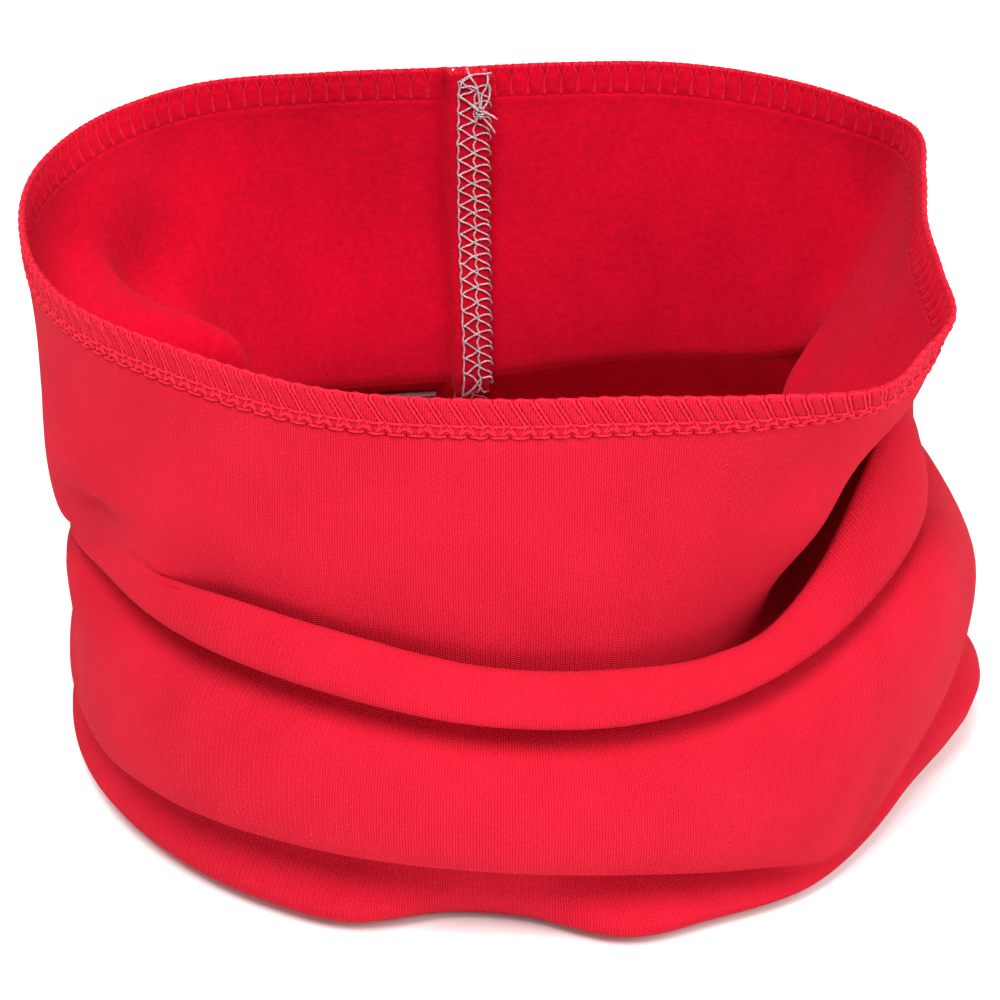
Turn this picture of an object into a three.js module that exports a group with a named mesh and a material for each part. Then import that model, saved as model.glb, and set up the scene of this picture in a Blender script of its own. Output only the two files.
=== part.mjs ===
// Neck gaiter: a tube of stretch knit standing slouched in folds. One panel is closed by a single
// back seam, both raw edges are overlocked, and a sewn label lies low on the inside of the back.
// Millimetres, +Z up, front towards -Y, the seam at the back (+Y).
import * as THREE from 'three';

// Driving sizes
const rimCircumference = 496;      // round the relaxed top edge
const slouchedHeight = 100;        // from the ground to the top edge, as it stands
const fabricThickness = 1.2;       // brushed stretch jersey
const layerGap = 0.3;              // clear space between sewn layers, and under each thread
const seamAllowance = 6.3;         // raw edges beyond the back seam, lying to the right
const threadThickness = 0.4;
const needleLineWidth = 0.6;       // width of one straight row of stitches
const needleOneInset = 3.9;        // from the edge of the fabric to the first needle line
const needleTwoInset = 5.8;        // and to the second
const looperReach = 3.2;           // how far the looper threads reach in from the edge
const labelWidth = 20;
const labelHeight = 18;
const labelThickness = 0.4;
const labelDrop = 3;               // below the top of the second fold, down the inside
const labelClearance = 0.6;        // between the label and the fleece behind it
const tailLength = 9;              // loose thread ends past the knot
const tailThickness = 1.2;
const restWidth = 3;               // width of the flat ring that the gaiter stands on

// Mesh steps
const columnsAround = 48;
const lengthSteps = 320;
const rowsPerFold = 2;
const rowsPerEdge = 4;             // between the last two rings at either edge

// The folds, from the top edge down to the bottom edge. Every ring lists the outer face as
// [degrees round from the front, radius, height], drawn for these two sizes.
const drawnCircumference = 496;
const drawnHeight = 100;
const seamAngle = 187;
const foldRings = {
  rim: [[0, 61, 100], [20, 64, 100], [35, 73, 100], [46, 82, 100], [57, 80.5, 100],
    [66, 80, 100], [78, 75, 100], [95, 73.5, 100], [108, 79, 100], [122, 88.5, 100],
    [130, 88, 100], [155, 83, 100], [172, 76.5, 100], [187, 74, 100], [205, 78.5, 100],
    [222, 87, 100], [232, 88.5, 100], [250, 87, 100], [268, 82, 100], [292, 75, 100],
    [308, 68, 100], [335, 63.5, 100]],
  bandHigh: [[0, 61, 86], [20, 63, 86], [38, 70, 86], [50, 75.5, 86], [60, 76, 87],
    [70, 71, 87], [85, 66, 86], [102, 71, 85], [116, 80, 85], [125, 87.5, 84], [134, 85, 84],
    [155, 80, 85], [187, 73, 86], [210, 81, 86], [226, 85, 86], [240, 82.5, 87],
    [246, 82.8, 85.5], [252, 82, 82.5], [260, 81, 83], [270, 80, 85], [300, 71, 85],
    [330, 64.5, 86]],
  bandLow: [[0, 61.5, 70], [20, 62, 70], [35, 65, 70], [48, 70.5, 71], [56, 65, 73],
    [68, 58, 73], [85, 55, 72], [102, 60, 71], [116, 69, 69], [125, 80, 68], [135, 80, 68],
    [155, 77, 68], [187, 72, 67], [210, 79, 68], [226, 79, 72], [238, 79, 69], [243, 77, 70],
    [250, 65, 73.5], [256, 49.8, 74], [263, 57, 73], [271, 78.3, 67], [275, 79, 66],
    [300, 73, 68], [330, 65, 70]],
  bandFoot: [[0, 59, 49], [20, 59.5, 48], [35, 60.5, 50], [46, 61.5, 55], [60, 55.5, 62],
    [75, 50, 64], [90, 49.5, 64], [105, 55, 66], [116, 64, 64], [125, 75.5, 61],
    [140, 76.5, 54], [155, 75, 49], [187, 68.3, 46], [215, 73, 46], [230, 71.5, 57.5],
    [240, 62, 61], [250, 48.5, 64.5], [258, 48, 64], [267, 72, 56.5], [276, 77.6, 53.5],
    [292, 72.7, 64], [305, 71, 63], [320, 65.2, 57], [335, 61.3, 51]],
  pleatOneFloor: [[0, 59, 36], [20, 59.5, 35], [35, 60, 38], [50, 58, 46], [65, 54, 54],
    [80, 51, 58], [92, 51, 58], [108, 60, 60], [116, 67, 59], [125, 76, 56], [140, 76.5, 47],
    [155, 75.5, 42], [187, 69, 37], [215, 73, 39], [232, 66.5, 50], [243, 56, 54],
    [252, 49, 57], [260, 56, 53], [268, 70, 50.5], [276, 75.9, 49.8], [292, 72.6, 61.5],
    [305, 71, 60], [320, 65, 52], [335, 61, 42]],
  foldOneRise: [[0, 60.8, 42], [20, 61.4, 41], [35, 62.7, 43], [50, 65, 52], [62, 66.5, 66],
    [75, 63, 69], [92, 59.5, 66], [108, 67, 66], [125, 80.5, 60], [140, 80.5, 53],
    [155, 78, 49], [187, 70.8, 46], [215, 76.5, 46], [232, 70, 52], [247, 64, 51],
    [262, 71, 48.5], [276, 75.7, 49.2], [292, 72.4, 56.5], [305, 70.6, 58.3], [320, 66.6, 55],
    [335, 62.6, 49]],
  foldOneCrest: [[0, 63, 53.5], [18, 63.6, 51.8], [32, 65, 51], [42, 67.4, 54], [50, 69.5, 63],
    [58, 70.8, 76], [66, 70.5, 82.5], [78, 67, 80], [92, 66, 76], [108, 74.5, 75],
    [125, 86, 71], [150, 83, 60], [187, 78.5, 54.5], [215, 82, 56.5], [235, 79, 54],
    [250, 77, 51], [262, 73.5, 49], [276, 75.7, 48.7], [292, 72.7, 55], [305, 70.9, 58],
    [320, 68, 60], [335, 64.8, 58.3]],
  foldOneBelly: [[0, 69.5, 46.5], [18, 70, 45], [32, 71.5, 46], [42, 73.5, 49], [50, 75.5, 53],
    [58, 77.5, 58.5], [66, 77.5, 62], [78, 74, 64], [92, 73, 63], [108, 79, 63],
    [125, 88.5, 60], [150, 88, 52], [187, 86.5, 46], [215, 88, 47.5], [235, 83, 46],
    [250, 79, 44], [262, 76, 45], [278, 75.8, 48.2], [294, 73.4, 51.3], [308, 72.8, 51.5],
    [335, 70.3, 50]],
  pleatTwo: [[0, 62.3, 42.8], [18, 62.5, 42], [32, 64, 43.2], [45, 66.2, 47.3],
    [55, 67.8, 52.8], [64, 69.2, 56.5], [76, 69.5, 56.5], [92, 70.5, 52], [108, 75.5, 52],
    [125, 81.5, 49], [150, 82.5, 42], [187, 81.5, 35.5], [215, 82.5, 37], [235, 75.5, 38],
    [250, 71, 39.5], [270, 73, 46.2], [284, 72, 47.4], [296, 68.5, 48], [310, 65, 47.4],
    [335, 63, 46.2]],
  foldTwoTop: [[0, 68.5, 38.5], [18, 69.3, 37.5], [32, 72, 38.5], [45, 75.6, 43],
    [56, 78.6, 50], [66, 79.5, 56], [78, 79, 54], [92, 80, 47], [108, 83, 44], [125, 87.5, 42],
    [150, 86.5, 36], [187, 85, 29], [215, 86.5, 31], [235, 82, 32], [250, 78, 35],
    [270, 77.2, 41.5], [284, 76.4, 43], [296, 74.4, 43.5], [310, 71.8, 43], [335, 69.3, 41.3]],
  foldTwoBelly: [[0, 72, 27], [18, 73, 27], [35, 76, 29], [50, 80, 34], [65, 83, 40],
    [78, 84, 40], [92, 85.5, 36], [125, 88.5, 28], [150, 87.5, 25], [187, 85.5, 20],
    [215, 88, 21], [235, 85, 22], [250, 81.5, 24], [270, 75.6, 32.3], [280, 76.2, 31.3],
    [290, 77, 30], [308, 75.5, 30], [335, 72.5, 29]],
  foldTwoLow: [[0, 70, 18], [20, 71.5, 15.5], [35, 74, 12], [48, 77, 9], [62, 78.5, 15],
    [76, 82, 22], [92, 84.5, 24], [105, 85, 21], [125, 88, 16], [150, 86.5, 14], [187, 85, 13],
    [215, 86.5, 13], [235, 84, 13], [250, 81.5, 13], [270, 78.2, 21.5], [280, 77.6, 18.5],
    [290, 76, 15], [308, 74, 16.5], [335, 70.5, 18]],
  pleatThree: [[0, 62, 15], [20, 63.8, 12.5], [35, 67.5, 8.8], [48, 75, 5.5], [62, 76.5, 10],
    [76, 79.5, 17], [92, 83.5, 19], [105, 84, 15], [125, 86, 11], [150, 85, 9.5],
    [187, 84.2, 9.5], [215, 85, 9.5], [235, 82, 9], [250, 80, 9], [270, 76.5, 9.5],
    [290, 72.5, 11], [308, 67.8, 13.5], [335, 62.6, 14.6]],
  foldThree: [[352, 62, 5], [4, 62.5, 4.5], [18, 71, 3.5], [30, 72, 3.2], [44, 75, 2.7],
    [58, 76.5, 5], [72, 80, 11], [84, 86.5, 12], [98, 89.5, 9], [112, 89, 6], [125, 88, 5],
    [150, 86, 5], [187, 82.5, 5], [215, 85.5, 5], [235, 83.5, 5], [250, 82, 4.5],
    [270, 79, 4.5], [290, 76, 4.5], [308, 73, 4.5], [325, 70.5, 4], [338, 68.5, 3.5]],
  under: [[352, 57, 0], [5, 58, 0], [18, 65, 0], [35, 67, 0], [50, 70, 0], [72, 74.5, 0],
    [90, 81, 0], [110, 83, 0], [125, 82, 0], [150, 79, 0], [187, 76, 0], [215, 79, 0],
    [235, 77, 0], [250, 75.5, 0], [270, 72.5, 0], [290, 70, 0], [308, 67.5, 0], [325, 65, 0],
    [338, 62, 0]],
  heel: [],
  tuck: [[352, 54, 5], [5, 55, 5], [18, 61, 5], [35, 63, 5], [50, 65.5, 5], [72, 69.5, 5],
    [90, 76, 5], [110, 78, 4], [125, 76, 3], [150, 73, 1.8], [187, 70, 1.8], [215, 73, 1.8],
    [235, 71, 2.5], [250, 70, 4], [270, 67.5, 5], [290, 65.5, 5], [308, 63.5, 5], [325, 61, 5],
    [338, 58.5, 5]],
  bottomEdge: [[352, 57, 26], [5, 57.5, 26], [18, 60, 26], [35, 62, 25], [50, 64, 24],
    [72, 67, 22], [90, 72, 18], [110, 73, 12], [125, 72, 8], [150, 67, 5], [187, 63, 3],
    [215, 67, 4.5], [235, 67, 7], [250, 66, 11], [270, 64.5, 18], [290, 63.5, 24],
    [308, 62, 25], [325, 60, 26], [338, 58, 26]],
};

foldRings.heel = foldRings.under.map(([degrees, radius]) => [degrees, radius - restWidth, 0]);

const planScale = rimCircumference / drawnCircumference;
const heightScale = slouchedHeight / drawnHeight;
const ringList = Object.values(foldRings).map((points) => points.slice().sort((a, b) => a[0] - b[0]));
const lastRing = ringList.length - 1;

// Radius and height on one ring: a closed smooth curve through its points.
function ringPoint(points, degrees) {
  const count = points.length;
  const turned = ((degrees % 360) + 360) % 360;
  let next = points.findIndex((point) => point[0] > turned);
  if (next < 0) next = count;
  const at = (index) => {
    const turns = Math.floor(index / count);
    const point = points[index - turns * count];
    return [point[0] + turns * 360, point[1], point[2]];
  };
  const [p0, p1, p2, p3] = [at(next - 2), at(next - 1), at(next), at(next + 1)];
  const span = p2[0] - p1[0];
  const t = (turned - p1[0]) / span;
  const slope = (a, b, c, k) => {
    const before = (b[k] - a[k]) / (b[0] - a[0]);
    const after = (c[k] - b[k]) / (c[0] - b[0]);
    return (before * (c[0] - b[0]) + after * (b[0] - a[0])) / (c[0] - a[0]);
  };
  const blend = (k) => (2 * t ** 3 - 3 * t ** 2 + 1) * p1[k]
    + (t ** 3 - 2 * t ** 2 + t) * span * slope(p0, p1, p2, k)
    + (3 * t ** 2 - 2 * t ** 3) * p2[k]
    + (t ** 3 - t ** 2) * span * slope(p1, p2, p3, k);
  return [blend(1) * planScale, Math.max(blend(2), 0) * heightScale];
}

// The fabric's outer face down one angle, as a curve from the top edge to the bottom edge.
const profiles = new Map();
function profile(degrees) {
  if (!profiles.has(degrees)) {
    const angle = THREE.MathUtils.degToRad(degrees);
    const points = ringList.map((ring) => {
      const [radius, height] = ringPoint(ring, degrees);
      return new THREE.Vector3(radius * Math.sin(angle), -radius * Math.cos(angle), height);
    });
    profiles.set(degrees, new THREE.CatmullRomCurve3(points, false, 'centripetal'));
  }
  return profiles.get(degrees);
}

// A point on the fabric: share 0 is the top edge and 1 the bottom edge, depth is measured inwards.
const sideStep = 1.5;
function fabricPoint(degrees, share, depth) {
  const down = profile(degrees).getTangent(share);
  const around = profile(degrees + sideStep).getPoint(share)
    .sub(profile(degrees - sideStep).getPoint(share));
  const inward = around.cross(down).normalize();
  const point = profile(degrees).getPoint(share).addScaledVector(inward, depth);
  point.z = Math.max(point.z, 0);
  return point;
}

// The share at a distance from the top edge, or from the bottom edge where fromBottom is set.
function shareAt(degrees, distance, fromBottom) {
  const curve = profile(degrees);
  const reach = distance / curve.getLength();
  return curve.getUtoTmapping(fromBottom ? 1 - reach : reach);
}

// Along the seam, "right" is in millimetres from the seam line towards +X.
const seamRadius = ringPoint(foldRings.rim, seamAngle)[0];
function angleRight(right) {
  return seamAngle - THREE.MathUtils.radToDeg(right / seamRadius);
}

// A closed body between two matching grids of points.
function slab(front, back) {
  const rows = front.length;
  const columns = front[0].length;
  const points = [...front.flat(), ...back.flat()];
  const index = (side, row, column) => side * rows * columns + row * columns + column;
  const faces = [];
  const quad = (a, b, c, d) => faces.push(a, b, c, a, c, d);
  for (let row = 0; row < rows - 1; row += 1) {
    for (let column = 0; column < columns - 1; column += 1) {
      quad(index(0, row, column), index(0, row + 1, column),
        index(0, row + 1, column + 1), index(0, row, column + 1));
      quad(index(1, row, column), index(1, row, column + 1),
        index(1, row + 1, column + 1), index(1, row + 1, column));
    }
    quad(index(0, row, 0), index(1, row, 0), index(1, row + 1, 0), index(0, row + 1, 0));
    quad(index(0, row, columns - 1), index(0, row + 1, columns - 1),
      index(1, row + 1, columns - 1), index(1, row, columns - 1));
  }
  for (let column = 0; column < columns - 1; column += 1) {
    quad(index(0, 0, column), index(0, 0, column + 1),
      index(1, 0, column + 1), index(1, 0, column));
    quad(index(0, rows - 1, column), index(1, rows - 1, column),
      index(1, rows - 1, column + 1), index(0, rows - 1, column + 1));
  }
  let volume = 0;
  for (let face = 0; face < faces.length; face += 3) {
    const [a, b, c] = faces.slice(face, face + 3).map((corner) => points[corner]);
    volume += a.dot(new THREE.Vector3().crossVectors(b, c));
  }
  if (volume < 0) faces.reverse();
  const geometry = new THREE.BufferGeometry();
  const flat = new Float32Array(points.flatMap((point) => [point.x, point.y, point.z]));
  geometry.setAttribute('position', new THREE.BufferAttribute(flat, 3));
  geometry.setIndex(faces);
  geometry.computeVertexNormals();
  return geometry;
}

const shares = [0];
for (let ring = 0; ring < lastRing; ring += 1) {
  const steps = ring === 0 || ring === lastRing - 1 ? rowsPerEdge : rowsPerFold;
  for (let step = 1; step <= steps; step += 1) shares.push((ring + step / steps) / lastRing);
}

// Column angles round the tube, leaving out a stretch at the seam given in millimetres.
function anglesAround(leftOfSeam, rightOfSeam) {
  const first = angleRight(-leftOfSeam);
  const last = angleRight(rightOfSeam) + 360;
  const angles = [first];
  for (let column = 1; column < columnsAround; column += 1) {
    const degrees = seamAngle + column * 360 / columnsAround;
    if (degrees > first + 1 && degrees < last - 1) angles.push(degrees);
  }
  angles.push(last);
  return angles;
}

// The panel. Its two ends turn in at the seam and lie to the right, one on the other, right sides
// together; jersey is the smooth side and fleece the brushed side of the same strip.
const seamClearance = layerGap / 2;
const innerLayer = fabricThickness + layerGap;
const outerLayer = 2 * innerLayer;
const stackDepth = outerLayer + fabricThickness;
function bodyPanel() {
  const inset = seamClearance + fabricThickness;
  const around = anglesAround(inset, inset);
  const middle = around.slice(1, -1);
  const jersey = [
    [angleRight(seamAllowance), outerLayer],
    [angleRight(seamAllowance / 2), outerLayer],
    [angleRight(-seamClearance), outerLayer],
    [angleRight(-seamClearance), 0],
    ...middle.map((degrees) => [degrees, 0]),
    [angleRight(seamClearance), 0],
    [angleRight(seamClearance), innerLayer + fabricThickness],
    [angleRight(seamAllowance / 2), innerLayer + fabricThickness],
    [angleRight(seamAllowance), innerLayer + fabricThickness],
  ];
  const fleece = [
    [angleRight(seamAllowance), stackDepth],
    [angleRight(seamAllowance / 2), stackDepth],
    [angleRight(-inset), stackDepth],
    [angleRight(-inset), fabricThickness],
    ...middle.map((degrees) => [degrees, fabricThickness]),
    [angleRight(inset), fabricThickness],
    [angleRight(inset), innerLayer],
    [angleRight(seamAllowance / 2), innerLayer],
    [angleRight(seamAllowance), innerLayer],
  ];
  const grid = (outline) => shares.map((share) => outline
    .map(([degrees, depth]) => fabricPoint(degrees, share, depth)));
  return slab(grid(jersey), grid(fleece));
}

// A flat thread band along an edge, from one inset to another, on the given side of the fabric.
function edgeBand(fromInset, toInset, depth, fromBottom) {
  const angles = anglesAround(2 * layerGap + fabricThickness, seamAllowance + 3 * layerGap);
  const grid = (level) => [fromInset, toInset].map((inset) => angles
    .map((degrees) => fabricPoint(degrees, shareAt(degrees, inset, fromBottom), level)));
  return slab(grid(depth), grid(depth + threadThickness));
}

// A flat thread band down the back seam, between two distances right of the seam line.
function seamBand(fromRight, toRight, depth) {
  const inside = shares.slice(1, -1);
  const curveShares = [shareAt(seamAngle, layerGap, false), ...inside,
    shareAt(seamAngle, layerGap, true)];
  const grid = (level) => [fromRight, toRight].map((right) => curveShares
    .map((share) => fabricPoint(angleRight(right), share, level)));
  return slab(grid(depth), grid(depth + threadThickness));
}

// The thread that closes over the raw edges, standing across both allowance layers.
function rawEdgeBand() {
  const curveShares = [shareAt(seamAngle, layerGap, false), ...shares.slice(1, -1),
    shareAt(seamAngle, layerGap, true)];
  const grid = (right) => [innerLayer, stackDepth].map((depth) => curveShares
    .map((share) => fabricPoint(angleRight(right), share, depth)));
  return slab(grid(seamAllowance + layerGap), grid(seamAllowance + layerGap + threadThickness));
}

// The label lies on the inside of the back, its right-hand edge caught beside the seam.
const labelDepth = fabricThickness + labelClearance;
const labelEdge = -(seamClearance + fabricThickness + 2 * layerGap);
const labelTopShare = Object.keys(foldRings).indexOf('foldTwoTop') / lastRing;
function careLabel() {
  const across = [0, 0.25, 0.5, 0.75, 1].map((part) => angleRight(labelEdge - labelWidth * part));
  const down = [0, 0.25, 0.5, 0.75, 1];
  const grid = (level) => down.map((part) => across.map((degrees) => fabricPoint(
    degrees,
    shareBelow(degrees, labelTopShare, labelDrop + labelHeight * part),
    level,
  )));
  return slab(grid(labelDepth), grid(labelDepth + labelThickness));
}

// The share a distance further down the fabric from another share.
function shareBelow(degrees, share, distance) {
  const curve = profile(degrees);
  const pieces = curve.getLengths(lengthSteps);
  const above = pieces[Math.round(share * lengthSteps)];
  return curve.getUtoTmapping((above + distance) / curve.getLength());
}

// The knot's two loose thread ends, lying over the raw edge at the top of the seam.
function threadTail() {
  const depth = stackDepth + threadThickness + 2 * layerGap + tailThickness / 2;
  const path = new THREE.CatmullRomCurve3([0, 0.3, 0.65, 1].map((part) => fabricPoint(
    angleRight(looperReach + 0.35 * tailLength * part),
    shareAt(seamAngle, needleTwoInset + 0.8 * tailLength * part, false),
    depth,
  )));
  const section = new THREE.Shape();
  const sides = 6;
  for (let side = 0; side < sides; side += 1) {
    const turn = side * 2 * Math.PI / sides;
    const x = Math.cos(turn) * tailThickness / 2;
    const y = Math.sin(turn) * tailThickness / 2;
    if (side === 0) section.moveTo(x, y);
    else section.lineTo(x, y);
  }
  return new THREE.ExtrudeGeometry(section, { steps: 8, extrudePath: path, bevelEnabled: false });
}

const red = new THREE.Color().setRGB(0.94, 0.05, 0.1, THREE.SRGBColorSpace);
const redThread = new THREE.Color().setRGB(0.9, 0.06, 0.11, THREE.SRGBColorSpace);
const greyThread = new THREE.Color().setRGB(0.72, 0.66, 0.66, THREE.SRGBColorSpace);
const satinWhite = new THREE.Color().setRGB(0.9, 0.88, 0.88, THREE.SRGBColorSpace);
const knit = new THREE.MeshStandardMaterial({ color: red, roughness: 0.9, metalness: 0 });
const edgeThread = new THREE.MeshStandardMaterial({ color: redThread, roughness: 0.7, metalness: 0 });
const seamThread = new THREE.MeshStandardMaterial({ color: greyThread, roughness: 0.6, metalness: 0 });
const satin = new THREE.MeshStandardMaterial({ color: satinWhite, roughness: 0.4, metalness: 0 });

const gaiter = new THREE.Group();
function add(name, geometry, material) {
  const mesh = new THREE.Mesh(geometry, material);
  mesh.name = name;
  gaiter.add(mesh);
}

add('body_panel', bodyPanel(), knit);

const onJersey = -(layerGap + threadThickness);
const onFleece = fabricThickness + layerGap;
const halfLine = needleLineWidth / 2;
for (const [edge, fromBottom] of [['top', false], ['bottom', true]]) {
  const needle = (inset) => edgeBand(inset - halfLine, inset + halfLine, onJersey, fromBottom);
  add(`${edge}_needle_thread_one`, needle(needleOneInset), edgeThread);
  add(`${edge}_needle_thread_two`, needle(needleTwoInset), edgeThread);
  add(`${edge}_upper_looper_thread`, edgeBand(layerGap, looperReach, onJersey, fromBottom), edgeThread);
  add(`${edge}_lower_looper_thread`, edgeBand(layerGap, looperReach, onFleece, fromBottom), edgeThread);
}

const onStack = stackDepth + layerGap;
const seamNeedleTwo = needleOneInset - halfLine;
add('seam_needle_thread_one', seamBand(0, needleLineWidth, onStack), seamThread);
add('seam_needle_thread_two', seamBand(seamNeedleTwo - needleLineWidth, seamNeedleTwo, onStack), seamThread);
add('seam_upper_looper_thread', seamBand(seamNeedleTwo + layerGap, seamAllowance, onStack), seamThread);
add('seam_lower_looper_thread', rawEdgeBand(), seamThread);
add('seam_thread_tail', threadTail(), seamThread);
add('care_label', careLabel(), satin);

// The frame's origin: the middle of the standing gaiter, on the ground.
const box = new THREE.Box3().setFromObject(gaiter);
gaiter.position.set(-(box.min.x + box.max.x) / 2, -(box.min.y + box.max.y) / 2, -box.min.z);

export default gaiter;
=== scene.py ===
import math
import bpy
import numpy as np
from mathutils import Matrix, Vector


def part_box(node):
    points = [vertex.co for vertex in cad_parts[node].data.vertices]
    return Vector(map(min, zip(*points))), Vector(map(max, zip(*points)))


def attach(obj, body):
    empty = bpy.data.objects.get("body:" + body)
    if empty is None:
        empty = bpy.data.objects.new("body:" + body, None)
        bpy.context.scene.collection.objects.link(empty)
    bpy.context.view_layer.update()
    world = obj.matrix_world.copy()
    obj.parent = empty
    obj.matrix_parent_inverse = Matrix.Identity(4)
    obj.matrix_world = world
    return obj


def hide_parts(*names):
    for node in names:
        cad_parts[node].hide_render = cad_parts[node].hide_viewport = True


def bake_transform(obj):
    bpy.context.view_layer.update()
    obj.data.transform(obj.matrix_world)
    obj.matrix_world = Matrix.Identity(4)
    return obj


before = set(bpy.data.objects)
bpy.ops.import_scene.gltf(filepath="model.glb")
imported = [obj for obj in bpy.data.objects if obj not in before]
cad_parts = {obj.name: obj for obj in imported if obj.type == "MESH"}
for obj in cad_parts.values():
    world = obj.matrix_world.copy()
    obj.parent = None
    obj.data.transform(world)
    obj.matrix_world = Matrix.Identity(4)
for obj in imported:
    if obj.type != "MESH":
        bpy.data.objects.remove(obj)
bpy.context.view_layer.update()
print("frame loaded,", len(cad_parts), "parts")

mm = 0.001

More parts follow.
